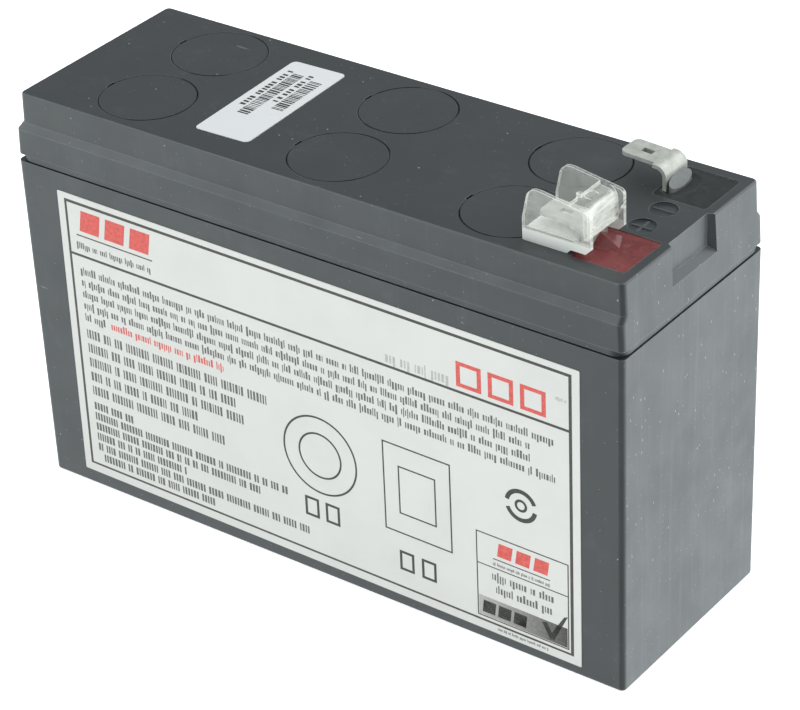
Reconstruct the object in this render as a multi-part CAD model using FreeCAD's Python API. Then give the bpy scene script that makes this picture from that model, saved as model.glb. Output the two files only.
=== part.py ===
import FreeCAD, Part
import os
from math import atan, cos, degrees, radians, sin, tan

# Sealed lead-acid battery block of six cells, as held by a UPS. Lengths in millimetres.
# Origin: middle of the base. +X: toward the terminals. The long label is on the -Y side. +Z: up.

os.makedirs("parts", exist_ok=True)
V = FreeCAD.Vector
Z = V(0, 0, 1)

# ---- case ----
LENGTH = 151.8            # over the rim of the case
WIDTH = 51.0
CASE_HEIGHT = 78.2        # base to the rim
TAPER_X = 0.45            # each end leans in by this toward the base
TAPER_Y = 0.5
CORNER_R = 1.2
BASE_R = 0.6
WALL = 2.6
FLOOR = 2.5
PARTITION = 1.4
WELD_R = 2.5              # weld that joins two cells through a partition
WELD_GAP = 0.1
WELD_DROP = 5.5           # partition top to the middle of the weld

# ---- seam between case and cover ----
SEAM = 1.5                # height of the open groove
SEAM_DEPTH = 0.3          # how far the shoulder of the case stands back in it
SHOULDER_R = 2.9          # upright corners of the shoulder
SEAM_ROOT = 0.22          # height of the narrow cut at the foot of the shoulder
SEAM_ROOT_DEPTH = 0.75    # how far the cut reaches in from the rim
NECK_SET = 1.4            # neck above the shoulder, from the ends and sides of the rim
NECK_LAP = 2.5            # neck inside the cover
NECK_GAP = 0.1
LIP = 1.2                 # lip of the cover inside the neck

# ---- cover ----
BAND_SET = 0.1            # each long side of the band stands in from the rim of the case
BAND = 5.9                # height of the wide band above the seam
BAND_EDGE_R = 0.2         # lower edge of the band
LEDGE_RISE = 1.5
LEDGE_SET = 1.1           # each long side steps in by this above the band
END_LEDGE_SET = 0.8       # and so does the end away from the terminals
UPPER = 6.9               # ledge to the top of the cover
COVER_TAPER = 0.6         # each end leans in by this toward the top
COVER_TOP = 3.0           # thickness of the top
TOP_EDGE_R = 0.5
POCKET_WIDTH = 15.7       # grip pocket in the terminal end, at its mouth
POCKET_MIDDLE = 0.25      # its place in Y
POCKET_DROP = 8.2
POCKET_DEPTH = 1.3
POCKET_SLANT = 0.95       # each side wall closes in by this
POCKET_SLOPE = 1.2        # rise of the sloping bottom

# ---- vents ----
VENT_R = 10.45
VENT_GAP = 0.2
VENT_SHIFT_Y = 0.35       # outward from the middle of each row of cells
VENT_SHIFT = (-0.8, -0.2, -7.0)   # from the middle of each column of cells
DISC = 1.6
NOTCH_WIDTH = 2.2         # slot for a prying tool, along the edge of the disc
NOTCH_REACH = 0.3         # to either side of that edge
NOTCH_DEPTH = 0.7
NOTCH_TURN = 178.0        # degrees from +X
VALVE_WELL_R = 7.6
VALVE_WELL = 7.0
VALVE_WELL_WALL = 1.4
NOZZLE_R = 2.8
NOZZLE_BORE_R = 1.2
NOZZLE = 4.6
VALVE_WALL = 1.3
VALVE_GAP = 0.08
VALVE_LIFT = 0.8          # open skirt of the valve stands this far off the well's floor

# ---- terminal wells and what stands in them ----
TERMINAL_MIDDLE = 0.5     # middle of the pair, off the middle of the block
LEG_FROM_END = 12.9       # cover end at its top edge to the outer face of the leg
WELL_END = 2.3            # land between the well and the end of the cover
WELL_SIDE = 3.35          # and between the pair of wells and the long sides, on average
WELL_LENGTH = 12.3
WELL_WIDTH = 13.3
WELL_R = 0.8
WELL_DEPTH = 5.0
WELL_FLOOR = 2.6
WELL_WALL = 1.8
POST_SET = 2.9            # middle of the post outside the leg's face
POST_R = 3.0
POST_GAP = 0.2
SEAL_WIDTH = 1.2
SEAL = 1.2
FLANGE_LENGTH = 8.2
FLANGE_WIDTH = 9.4
FLANGE_R = 1.5
FLANGE = 1.6
PAD_WIDTH = 7.9           # oval head of the post
PAD_DEPTH = 1.7
PAD_TOP = {"positive": 4.4, "negative": 7.25}   # well floor to the high side of the head
PAD_FALL = 1.45           # fall of the sloping head for each millimetre outward
TAB = 0.8                 # thickness of the strip
LEG_WIDTH = 7.9
BLADE_WIDTH = 6.35
BLADE_LENGTH = 8.0
SHOULDER = 0.9            # wide part past the bend
BEND_R = 2.4
BEND_TOP = 4.8            # cover top to the top of the bend
BLADE_LIFT = 3.0          # degrees
TIP_R = 1.4
HOLE_LENGTH = 2.5
HOLE_WIDTH = 1.5
HOLE_FROM_TIP = 4.6
POTTING_DROP = 0.15       # resin surface under the cover's top
POTTING_GAP = 0.03
DISH_LENGTH = 3.1         # the black resin sinks round the head over this reach in X
DISH_WIDTH = 1.1
DISH = 0.4
PEAK = 1.85               # the red resin climbs the leg's outer face by this
PEAK_PLACE = (0.0, 1.4)   # from the middle of that face
PEAK_FOOT = ((0.6, -1.9), (4.6, 1.0), (2.5, 5.2), (-1.6, 5.2), (-1.6, -1.9))
PEAK_TIP = 0.08           # the tip is this part of the foot

# ---- polarity marks ----
MARK_R = 2.9
MARK_LAND = 0.9           # between a mark and the well beside it
MARK_MIDDLE = 0.4         # middle of the pair in Y
MARK_FROM_END = 9.2
MARK_DEPTH = 0.45
MARK_LINE = 0.45
MARK_RISE = 0.25          # height of the bars over the sunk floor

# ---- slip-on cap of the positive terminal ----
CAP_WIDTH = 12.2
CAP_WALL = 0.8
CAP_REACH = 12.7          # outer face of the leg to the open end
CAP_BACK = 2.8
CAP_HIGH = 11.4           # over the cover
CAP_LOW = 9.6             # at the closed end
CAP_CREST = 8.8           # outer face of the leg to the highest point
CAP_LEAN = 1.4
CAP_LEAN_FROM = 4.8
CAP_R = 2.4
CAP_FOOT_R = 1.2
CAP_RELIEF = 0.9          # underside clears the resin by this
CAP_RELIEF_FROM = 2.6     # ahead of the leg's face
CAP_FLOOR = 2.5           # top of the lower plate over the cover
CAP_FLOOR_SET = 0.3
CAP_ROOF = 2.5
CAP_CLEAR = 0.7           # leg to the back wall
CAP_SKIRT = 3.4           # lower edge of the back wall over the cover
CAP_BEND_R = 2.4
CAP_RIB = 0.6
CAP_NUB_R = 0.9
CAP_NUB_GAP = 0.15
CAP_GATE_R = 1.5          # shallow round mark in the roof
CAP_GATE = 0.2
CAP_GATE_SET = 0.9        # its middle ahead of the leg's face
CAP_LUMP_R = 0.6          # small lump on the roof's open edge
CAP_LUMP = 0.45
CAP_LUMP_PLACE = 0.33     # part of the way from the near wing to the far one

# ---- plates of a cell ----
POSITIVE = 2.0            # plate thicknesses
NEGATIVE = 1.4
POSITIVES = 4             # each stands between two negatives
STACK_GAP = 0.15
PLATE_DROP = 17.2         # partition top to the tops of the plates
PLATE_END_GAP = 1.2       # plate to the end of its cell
SEPARATOR_OVER = 0.6      # separators stand past the plates by this
LUG_WIDTH = 7.0
LUG = 5.0
STRAP = 3.5
STRAP_WIDTH = 9.0
UPRIGHT = 3.0             # thickness of the part that stands against a partition
UPRIGHT_WIDTH = 10.0
UPRIGHT_HEIGHT = 10.0

# ---- labels ----
LABEL = 0.12
LABEL_LEFT = 10.1         # from the ends of the case's rim
LABEL_RIGHT = 10.1
LABEL_BELOW = 2.95        # from the base
LABEL_ABOVE = 4.75        # from the rim
LABEL_TURN = 0.5          # degrees
LABEL_R = 0.3
TAG_LENGTH = 13.5
TAG_WIDTH = 35.0
TAG_SHIFT = (-1.7, 0.2)   # from the middle between four vents
TAG_TURN = 2.0
TAG_R = 1.2

# ---- levels and places that follow ----
BAND_BOTTOM = CASE_HEIGHT + SEAM
LEDGE_LOW = BAND_BOTTOM + BAND
LEDGE_TOP = LEDGE_LOW + LEDGE_RISE
HEIGHT = LEDGE_TOP + UPPER
BAND_WIDTH = WIDTH - 2 * BAND_SET
TOP_WIDTH = BAND_WIDTH - 2 * LEDGE_SET
TOP_LENGTH = LENGTH - 2 * COVER_TAPER
CELLS_X = LENGTH - 2 * (TAPER_X + WALL)      # all cells together
CELLS_Y = WIDTH - 2 * (TAPER_Y + WALL)
CELL_X = (CELLS_X - 2 * PARTITION) / 3
CELL_Y = (CELLS_Y - PARTITION) / 2
PITCH_X = CELL_X + PARTITION
PITCH_Y = CELL_Y + PARTITION
WELL_BOTTOM = HEIGHT - WELL_DEPTH
TERMINAL_Y = TOP_WIDTH / 2 - WELL_SIDE - WELL_WIDTH / 2
MARK_Y = TERMINAL_Y - WELL_WIDTH / 2 - MARK_LAND - MARK_R
WELL_X = TOP_LENGTH / 2 - WELL_END - WELL_LENGTH / 2
LEG_X = TOP_LENGTH / 2 - LEG_FROM_END
POST_X = LEG_X + POST_SET
PLATE_TOP = BAND_BOTTOM - PLATE_DROP
STRAP_BOTTOM = PLATE_TOP + LUG
STRAP_TOP = STRAP_BOTTOM + STRAP
WELD_Z = BAND_BOTTOM - WELD_DROP
VALVE_FLOOR = HEIGHT - DISC - VALVE_WELL
TERMINALS = {"positive": TERMINAL_MIDDLE - TERMINAL_Y, "negative": TERMINAL_MIDDLE + TERMINAL_Y}

# The six cells in the order of the current, as (column, row); the first and last carry terminals.
CELLS = ((1, -1), (0, -1), (-1, -1), (-1, 1), (0, 1), (1, 1))


def box(x0, x1, y0, y1, z0, z1):
    return Part.makeBox(x1 - x0, y1 - y0, z1 - z0, V(x0, y0, z0))


def rod(r, z0, z1, x=0.0, y=0.0):
    return Part.makeCylinder(r, z1 - z0, V(x, y, z0))


def rounded(length, width, r, z, x=0.0, y=0.0):
    """Closed wire: a rectangle with round corners, flat at height z."""
    a, b = length / 2 - r, width / 2 - r
    h = r * sin(radians(45))
    parts = []
    corners = ((a, b, 1, 1), (-a, b, -1, 1), (-a, -b, -1, -1), (a, -b, 1, -1))
    for i, (cx, cy, sx, sy) in enumerate(corners):
        start, end = V(x + cx + r * sx, y + cy, z), V(x + cx, y + cy + r * sy, z)
        if sx != sy:
            start, end = end, start
        parts.append(Part.Arc(start, V(x + cx + h * sx, y + cy + h * sy, z), end).toShape())
        nx, ny, tx, ty = corners[(i + 1) % 4]
        following = V(x + nx, y + ny + r * ty, z) if tx != ty else V(x + nx + r * tx, y + ny, z)
        parts.append(Part.makeLine(end, following))
    return Part.Wire(parts)


def slab(length, width, r, z0, z1, x=0.0, y=0.0):
    return Part.Face(rounded(length, width, r, z0, x, y)).extrude(V(0, 0, z1 - z0))


def prism(points, along):
    """Solid swept from a closed outline of points."""
    return Part.Face(Part.makePolygon(list(points) + [points[0]])).extrude(along)


def fuse(shapes):
    first, *rest = shapes
    return first.multiFuse(rest).removeSplitter() if rest else first


def soften(solid, radius, choose):
    return solid.makeFillet(radius, [e for e in solid.Edges if choose(e)])


def upright_at(x, y, reach):
    """Chooses the upright edges that stand within reach of a place."""
    def choose(edge):
        a, b = edge.Vertexes[0].Point, edge.Vertexes[-1].Point
        upright = abs(a.x - b.x) < 1e-6 and abs(a.y - b.y) < 1e-6 and abs(a.z - b.z) > 1e-6
        return upright and abs(a.x - x) < reach and abs(a.y - y) < reach
    return choose


def cell_middle(column, row):
    return column * PITCH_X, row * PITCH_Y / 2


def vent_place(column, row):
    return column * PITCH_X + VENT_SHIFT[column + 1], row * (PITCH_Y / 2 + VENT_SHIFT_Y)


def save(name, shape):
    solids = shape.Solids
    whole = solids[0] if len(solids) == 1 else Part.makeCompound(solids)
    whole.exportStep("parts/%s.step" % name)


# ---- case and cover ----

def weld_places():
    """Each weld between two cells: its middle, and its direction through the partition."""
    for here, there in zip(CELLS, CELLS[1:]):
        x0, y0 = cell_middle(*here)
        x1, y1 = cell_middle(*there)
        if here[1] == there[1]:
            yield V((x0 + x1) / 2, y0, WELD_Z), V((x1 - x0) / PITCH_X, 0, 0)
        else:
            yield V(strap_x(here, "negative"), 0, WELD_Z), V(0, (y1 - y0) / PITCH_Y, 0)


def through_partition(place, way, r, length):
    return Part.makeCylinder(r, length, place - way * (length / 2), way)


def leaning_block():
    """Body of the case with its flat sides, narrower at the base."""
    def half(low, high, at):
        return [at(-low, 0), at(low, 0), at(high, CASE_HEIGHT), at(-high, CASE_HEIGHT)]
    long_way = prism(half(LENGTH / 2 - TAPER_X, LENGTH / 2, lambda x, z: V(x, -WIDTH / 2, z)), V(0, WIDTH, 0))
    across = prism(half(WIDTH / 2 - TAPER_Y, WIDTH / 2, lambda y, z: V(-LENGTH / 2, y, z)), V(LENGTH, 0, 0))
    return long_way.common(across)


def case():
    outside = soften(leaning_block(), CORNER_R, lambda e: e.BoundBox.ZLength > CASE_HEIGHT / 2)
    outside = soften(outside, BASE_R, lambda e: e.BoundBox.ZMax < 1e-6)
    root = slab(LENGTH - 2 * SEAM_ROOT_DEPTH, WIDTH - 2 * SEAM_ROOT_DEPTH, SHOULDER_R,
                CASE_HEIGHT, CASE_HEIGHT + SEAM_ROOT)
    shoulder = slab(LENGTH - 2 * SEAM_DEPTH, WIDTH - 2 * SEAM_DEPTH, SHOULDER_R,
                    CASE_HEIGHT + SEAM_ROOT, BAND_BOTTOM)
    neck = slab(LENGTH - 2 * NECK_SET, WIDTH - 2 * NECK_SET, CORNER_R, BAND_BOTTOM, BAND_BOTTOM + NECK_LAP)
    body = fuse([outside, root, shoulder, neck])
    hollows = [box(-CELLS_X / 2, CELLS_X / 2, -CELLS_Y / 2, CELLS_Y / 2,
                   BAND_BOTTOM, BAND_BOTTOM + NECK_LAP + 1)]
    for column, row in CELLS:
        x, y = cell_middle(column, row)
        hollows.append(box(x - CELL_X / 2, x + CELL_X / 2, y - CELL_Y / 2, y + CELL_Y / 2,
                           FLOOR, BAND_BOTTOM + 1))
    for place, way in weld_places():
        hollows.append(through_partition(place, way, WELD_R + WELD_GAP, 3 * PARTITION))
    return body.cut(hollows)


def cover_outside():
    def outline(z, width, end_set=0.0):
        lean = COVER_TAPER * (z - BAND_BOTTOM) / (HEIGHT - BAND_BOTTOM)
        return rounded(LENGTH - end_set - 2 * lean, width, CORNER_R, z, end_set / 2)
    shell = Part.makeLoft([outline(BAND_BOTTOM, BAND_WIDTH), outline(LEDGE_LOW, BAND_WIDTH),
                           outline(LEDGE_TOP, TOP_WIDTH, END_LEDGE_SET),
                           outline(HEIGHT, TOP_WIDTH, END_LEDGE_SET)], True, True)
    shell = soften(shell, TOP_EDGE_R, lambda e: e.BoundBox.ZMin > HEIGHT - 1e-6)
    return soften(shell, BAND_EDGE_R, lambda e: e.BoundBox.ZMax < BAND_BOTTOM + 1e-6)


def grip_pocket():
    """Shallow pocket in the terminal end: slanting sides, sloping bottom, open at the top."""
    face = LENGTH / 2
    back = TOP_LENGTH / 2 - POCKET_DEPTH
    out = face - back + 1
    grow = POCKET_SLANT / POCKET_DEPTH * out
    half, low = POCKET_WIDTH / 2 - POCKET_SLANT, HEIGHT - POCKET_DROP + POCKET_SLOPE
    drop = POCKET_SLOPE / POCKET_DEPTH * out

    def mouth(x, wide, z):
        y0, y1 = POCKET_MIDDLE - wide, POCKET_MIDDLE + wide
        return Part.makePolygon([V(x, y0, z), V(x, y1, z), V(x, y1, HEIGHT + 1),
                                 V(x, y0, HEIGHT + 1), V(x, y0, z)])
    return Part.makeLoft([mouth(back, half, low), mouth(back + out, half + grow, low - drop)], True, True)


def well(name, z0, z1, more=0.0):
    """Body of one terminal well, or of the block around it when grown by more."""
    return slab(WELL_LENGTH + 2 * more, WELL_WIDTH + 2 * more, WELL_R + max(more, 0.0), z0, z1,
                WELL_X, TERMINALS[name])


def polarity_mark(name):
    """Sunk ring with a raised plus or minus."""
    positive = name == "positive"
    x, y = TOP_LENGTH / 2 - MARK_FROM_END, MARK_MIDDLE + (-MARK_Y if positive else MARK_Y)
    z0, z1 = HEIGHT - MARK_DEPTH, HEIGHT - MARK_DEPTH + MARK_RISE
    half, reach = MARK_LINE / 2, MARK_R * 0.8
    lines = [box(x - reach, x + reach, y - half, y + half, z0, z1)]
    if positive:
        lines.append(box(x - half, x + half, y - reach, y + reach, z0, z1))
    return rod(MARK_R, z0, HEIGHT + 1, x, y), lines


def notch(x, y, z0, z1):
    bar = box(VENT_R - NOTCH_REACH, VENT_R + NOTCH_REACH, -NOTCH_WIDTH / 2, NOTCH_WIDTH / 2, z0, z1)
    bar.rotate(V(0, 0, 0), Z, NOTCH_TURN)
    bar.translate(V(x, y, 0))
    return bar


def cover():
    outside = cover_outside()
    under = HEIGHT - COVER_TOP
    neck_out = slab(LENGTH - 2 * (NECK_SET - NECK_GAP), WIDTH - 2 * (NECK_SET - NECK_GAP),
                    CORNER_R + NECK_GAP, BAND_BOTTOM - 1, BAND_BOTTOM + NECK_LAP + NECK_GAP)
    neck_in = box(-CELLS_X / 2 + NECK_GAP, CELLS_X / 2 - NECK_GAP, -CELLS_Y / 2 + NECK_GAP,
                  CELLS_Y / 2 - NECK_GAP, BAND_BOTTOM - 2, HEIGHT)
    hollows = [neck_out.cut(neck_in)]
    edge_x, edge_y = CELLS_X / 2 - NECK_GAP - LIP, CELLS_Y / 2 - NECK_GAP - LIP
    for column, row in CELLS:
        x, y = cell_middle(column, row)
        hollows.append(box(max(x - CELL_X / 2, -edge_x), min(x + CELL_X / 2, edge_x),
                           max(y - CELL_Y / 2, -edge_y), min(y + CELL_Y / 2, edge_y),
                           BAND_BOTTOM - 1, under))
    inner = []
    for place in CELLS:
        x, y = vent_place(*place)
        inner.append(rod(VALVE_WELL_R + VALVE_WELL_WALL, VALVE_FLOOR - VALVE_WELL_WALL, under, x, y))
    for name in TERMINALS:
        inner.append(well(name, WELL_BOTTOM - WELL_FLOOR, HEIGHT, WELL_WALL).common(outside))
    body = fuse([outside.cut(hollows)] + inner)

    openings, raised = [grip_pocket()], []
    for place in CELLS:
        x, y = vent_place(*place)
        openings += [rod(VENT_R, HEIGHT - DISC, HEIGHT + 1, x, y),
                     rod(VALVE_WELL_R, VALVE_FLOOR, HEIGHT, x, y),
                     notch(x, y, HEIGHT - NOTCH_DEPTH, HEIGHT + 1)]
        raised.append(rod(NOZZLE_R, VALVE_FLOOR, VALVE_FLOOR + NOZZLE, x, y))
    for name, y in TERMINALS.items():
        openings += [well(name, WELL_BOTTOM, HEIGHT + 1),
                     rod(POST_R + POST_GAP, WELL_BOTTOM - WELL_FLOOR - 1, HEIGHT, POST_X, y),
                     rod(POST_R + POST_GAP + SEAL_WIDTH, WELL_BOTTOM - SEAL, HEIGHT, POST_X, y)]
        sunk, lines = polarity_mark(name)
        openings.append(sunk)
        raised += lines
    body = fuse([body.cut(openings)] + raised)
    bores = [rod(NOZZLE_BORE_R, VALVE_FLOOR - VALVE_WELL_WALL - 1, HEIGHT, *vent_place(*place))
             for place in CELLS]
    return body.cut(bores)


# ---- vents ----

def vent_disc(x, y):
    disc = rod(VENT_R - VENT_GAP, HEIGHT - DISC, HEIGHT, x, y)
    return disc.cut(notch(x, y, HEIGHT - NOTCH_DEPTH, HEIGHT + 1))


def valve(x, y):
    """Rubber cup over the nozzle, held down by the disc."""
    seat = VALVE_FLOOR + NOZZLE
    outer = NOZZLE_R + VALVE_GAP + VALVE_WALL
    cup = rod(outer, VALVE_FLOOR + VALVE_LIFT, HEIGHT - DISC, x, y)
    return cup.cut(rod(NOZZLE_R + VALVE_GAP, VALVE_FLOOR, seat, x, y))


# ---- terminals ----

def oval(x, y, half_x, half_y, z):
    """Closed ellipse, flat at height z."""
    if half_x > half_y:
        curve = Part.Ellipse(V(x + half_x, y, z), V(x, y + half_y, z), V(x, y, z))
    else:
        curve = Part.Ellipse(V(x, y + half_y, z), V(x - half_x, y, z), V(x, y, z))
    return Part.Wire([curve.toShape()])


def post_head(name, more=0.0):
    """Flange and oval head with its sloping top, grown by more for the resin around it."""
    x, y = LEG_X + PAD_DEPTH / 2, TERMINALS[name]
    head = Part.Face(oval(x, y, PAD_DEPTH / 2 + more, PAD_WIDTH / 2 + more, WELL_BOTTOM))
    head = head.extrude(V(0, 0, 2 * PAD_TOP[name]))
    a, b = LEG_X - 1, LEG_X + PAD_DEPTH + 1
    high = WELL_BOTTOM + PAD_TOP[name] + more
    above = prism([V(a, y - PAD_WIDTH, high + PAD_FALL), V(a, y - PAD_WIDTH, high + 2 * PAD_TOP[name]),
                   V(b, y - PAD_WIDTH, high + 2 * PAD_TOP[name]),
                   V(b, y - PAD_WIDTH, high - PAD_FALL * (PAD_DEPTH + 1))], V(0, 2 * PAD_WIDTH, 0))
    flange = slab(FLANGE_LENGTH + 2 * more, FLANGE_WIDTH + 2 * more, FLANGE_R + more,
                  WELL_BOTTOM, WELL_BOTTOM + FLANGE + more, POST_X, y)
    return fuse([flange, head.cut(above)])


def post(name):
    return fuse([rod(POST_R, STRAP_TOP, WELL_BOTTOM, POST_X, TERMINALS[name]), post_head(name)])


def post_seal(name):
    x, y = POST_X, TERMINALS[name]
    ring = rod(POST_R + SEAL_WIDTH, WELL_BOTTOM - SEAL, WELL_BOTTOM, x, y)
    return ring.cut(rod(POST_R + POST_GAP / 2, WELL_BOTTOM - SEAL, WELL_BOTTOM, x, y))


BEND_X = LEG_X - BEND_R
BEND_Z = HEIGHT + BEND_TOP - BEND_R


def blade_underside(x):
    """Height of the blade's lower face at a place ahead of the bend."""
    lift = radians(BLADE_LIFT)
    return BEND_Z + (BEND_R - TAB) / cos(lift) + (BEND_X - x) * tan(lift)


def tab(name):
    """Strip that stands on the flange, bends over and ends in the flat blade."""
    y = TERMINALS[name]
    wide, thin = LEG_WIDTH / 2, BLADE_WIDTH / 2
    leg = box(LEG_X - TAB, LEG_X, y - wide, y + wide, WELL_BOTTOM + FLANGE, BEND_Z)
    centre = V(BEND_X, y - wide, BEND_Z)
    bend = Part.makeCylinder(BEND_R, LEG_WIDTH, centre, V(0, 1, 0))
    bend = bend.cut(Part.makeCylinder(BEND_R - TAB, LEG_WIDTH, centre, V(0, 1, 0)))
    bend = bend.common(box(BEND_X, BEND_X + BEND_R, y - wide, y + wide, BEND_Z, BEND_Z + BEND_R))
    low, high = BEND_Z + BEND_R - TAB, BEND_Z + BEND_R
    tip = BEND_X - SHOULDER - BLADE_LENGTH
    shoulder = box(BEND_X - SHOULDER, BEND_X, y - wide, y + wide, low, high)
    blade = box(tip, BEND_X - SHOULDER, y - thin, y + thin, low, high)
    for corner in (-thin, thin):
        blade = soften(blade, TIP_R, upright_at(tip, y + corner, 0.01))
    hole_x = tip + HOLE_FROM_TIP
    blade = blade.cut(box(hole_x - HOLE_LENGTH / 2, hole_x + HOLE_LENGTH / 2,
                          y - HOLE_WIDTH / 2, y + HOLE_WIDTH / 2, low - 1, high + 1))
    flat = fuse([shoulder, blade])
    flat.rotate(V(BEND_X, 0, BEND_Z), V(0, 1, 0), BLADE_LIFT)
    wedge = prism([V(BEND_X, y - wide, BEND_Z),
                   V(BEND_X + 2 * BEND_R * sin(radians(BLADE_LIFT)), y - wide,
                     BEND_Z + 2 * BEND_R * cos(radians(BLADE_LIFT))),
                   V(BEND_X, y - wide, BEND_Z + 2 * BEND_R)], V(0, LEG_WIDTH, 0))
    return fuse([leg, bend.cut(wedge), flat])


def dish(y, level):
    """Shallow oval hollow the black resin leaves round the head."""
    x, half_x, half_y = LEG_X + PAD_DEPTH / 2, PAD_DEPTH / 2, PAD_WIDTH / 2
    return Part.makeLoft([oval(x, y, half_x, half_y, level - DISH),
                          oval(x, y, half_x + 2 * DISH_LENGTH, half_y + 2 * DISH_WIDTH, level + DISH)],
                         True, True)


def peak(y, level):
    """Flat-sided rise of the red resin against the leg."""
    px, py = PEAK_PLACE

    def ring(part, z):
        points = [V(LEG_X + px + part * (fx - px), y + py + part * (fy - py), z) for fx, fy in PEAK_FOOT]
        return Part.makePolygon(points + [points[0]])
    return Part.makeLoft([ring(1.0, level), ring(PEAK_TIP, level + PEAK)], True, True)


def potting(name):
    """Poured resin, level but for its shape round the terminal."""
    y, level = TERMINALS[name], HEIGHT - POTTING_DROP
    body = well(name, WELL_BOTTOM, level, -POTTING_GAP)
    if name == "positive":
        body = fuse([body, peak(y, level).common(well(name, WELL_BOTTOM, HEIGHT + BEND_TOP, -POTTING_GAP))])
    else:
        body = body.cut(dish(y, level))
    leg = box(LEG_X - TAB - POTTING_GAP, LEG_X + POTTING_GAP, y - LEG_WIDTH / 2 - POTTING_GAP,
              y + LEG_WIDTH / 2 + POTTING_GAP, WELL_BOTTOM, HEIGHT + BEND_TOP)
    return body.cut([post_head(name, POTTING_GAP), leg])


# ---- slip-on cap ----

def cap_top(x):
    """Height of the cap's sloping top, with x from the leg's outer face."""
    return CAP_HIGH - (CAP_HIGH - CAP_LOW) * (x + CAP_CREST) / (CAP_CREST + CAP_BACK)


def cap():
    """Two upright wings joined by a lower plate, a short roof and a back wall."""
    y0 = TERMINALS["positive"] - CAP_WIDTH / 2
    inner0, inner1 = y0 + CAP_WALL, y0 + CAP_WIDTH - CAP_WALL

    def at(x, z, y):
        return V(LEG_X + x, y, HEIGHT + z)

    def along_y(edge):
        a, b = edge.Vertexes[0].Point, edge.Vertexes[-1].Point
        return abs(a.y - b.y) > 1e-6

    def near(x, z):
        return lambda e: along_y(e) and (e.Vertexes[0].Point - at(x, z, e.Vertexes[0].Point.y)).Length < 0.01

    front = (-CAP_REACH + CAP_LEAN, CAP_HIGH)
    outline = [(-CAP_REACH, 0), (-CAP_REACH, CAP_LEAN_FROM), front, (-CAP_CREST, CAP_HIGH),
               (CAP_BACK, CAP_LOW), (CAP_BACK, CAP_RELIEF), (-CAP_RELIEF_FROM + CAP_RELIEF, CAP_RELIEF),
               (-CAP_RELIEF_FROM, 0)]
    pieces = []
    for y in (y0, inner1):
        wing = prism([at(x, z, y) for x, z in outline], V(0, CAP_WALL, 0))
        wing = soften(wing, CAP_R, near(*front))
        wing = soften(wing, CAP_FOOT_R, near(CAP_BACK, CAP_LOW))
        wing = wing.makeChamfer(CAP_FOOT_R, [e for e in wing.Edges if near(CAP_BACK, CAP_RELIEF)(e)])
        pieces.append(wing)
    across = V(0, inner1 - inner0, 0)
    pieces.append(Part.makeBox(CAP_REACH - CAP_FLOOR_SET - TAB - CAP_CLEAR, across.y, CAP_WALL,
                               at(-CAP_REACH + CAP_FLOOR_SET, CAP_FLOOR - CAP_WALL, inner0)))

    wall = CAP_CLEAR + CAP_WALL
    start = -CAP_ROOF

    def hood(inset):
        corner = (wall - inset, cap_top(wall - inset) - inset)
        body = prism([at(x, z, inner0) for x, z in (
            (start, CAP_SKIRT), (start, cap_top(start) - inset), corner, (wall - inset, CAP_SKIRT))], across)
        return soften(body, CAP_BEND_R - inset, near(*corner))
    pieces.append(hood(0).cut(hood(CAP_WALL)))

    for y in (inner0, inner1 - CAP_WALL):
        pieces.append(prism([at(x, z, y) for x, z in (
            (wall - CAP_WALL / 2, CAP_SKIRT), (wall - CAP_WALL / 2, CAP_SKIRT + CAP_RIB),
            (CAP_BACK, CAP_SKIRT + CAP_BACK + CAP_RIB), (CAP_BACK, CAP_SKIRT + CAP_BACK))],
            V(0, CAP_WALL, 0)))
    nub_x = BEND_X - SHOULDER - BLADE_LENGTH + HOLE_FROM_TIP
    pieces.append(rod(CAP_NUB_R, HEIGHT + CAP_FLOOR - CAP_WALL,
                      blade_underside(nub_x + CAP_NUB_R) - CAP_NUB_GAP, nub_x, TERMINALS["positive"]))
    lump = at(start, cap_top(start), inner0 + CAP_LUMP_PLACE * across.y)
    pieces.append(rod(CAP_LUMP_R, lump.z - CAP_WALL, lump.z + CAP_LUMP, lump.x, lump.y))
    gate = at(-CAP_GATE_SET, cap_top(-CAP_GATE_SET) - CAP_GATE, TERMINALS["positive"])
    return fuse(pieces).cut(rod(CAP_GATE_R, gate.z, HEIGHT + CAP_HIGH + 1, gate.x, gate.y))


# ---- inside the cells ----

def strap_x(cell, kind):
    """Middle of the strap that gathers one kind of plate."""
    x, _ = cell_middle(*cell)
    place = CELLS.index(cell)
    if (place == 0 and kind == "positive") or (place == len(CELLS) - 1 and kind == "negative"):
        return POST_X
    toward = CELLS[place + 1] if kind == "negative" else CELLS[place - 1]
    way = toward[0] - cell[0]
    outward = way if way else cell[0]
    return x + outward * (CELL_X / 2 - STRAP_WIDTH / 2 - (0 if way else PLATE_END_GAP))


def layers(row):
    """Each layer of the stack, as (kind, y0, y1) from one side of the cell to the other."""
    middle = row * PITCH_Y / 2
    sheets = 2 * POSITIVES
    spare = CELL_Y - 2 * STACK_GAP - POSITIVES * POSITIVE - (POSITIVES + 1) * NEGATIVE
    thickness = {"positive": POSITIVE, "negative": NEGATIVE, "separator": spare / sheets}
    order = ["negative"] + ["separator", "positive", "separator", "negative"] * POSITIVES
    y = middle - CELL_Y / 2 + STACK_GAP
    for kind in order:
        yield kind, y, y + thickness[kind]
        y += thickness[kind]


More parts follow.
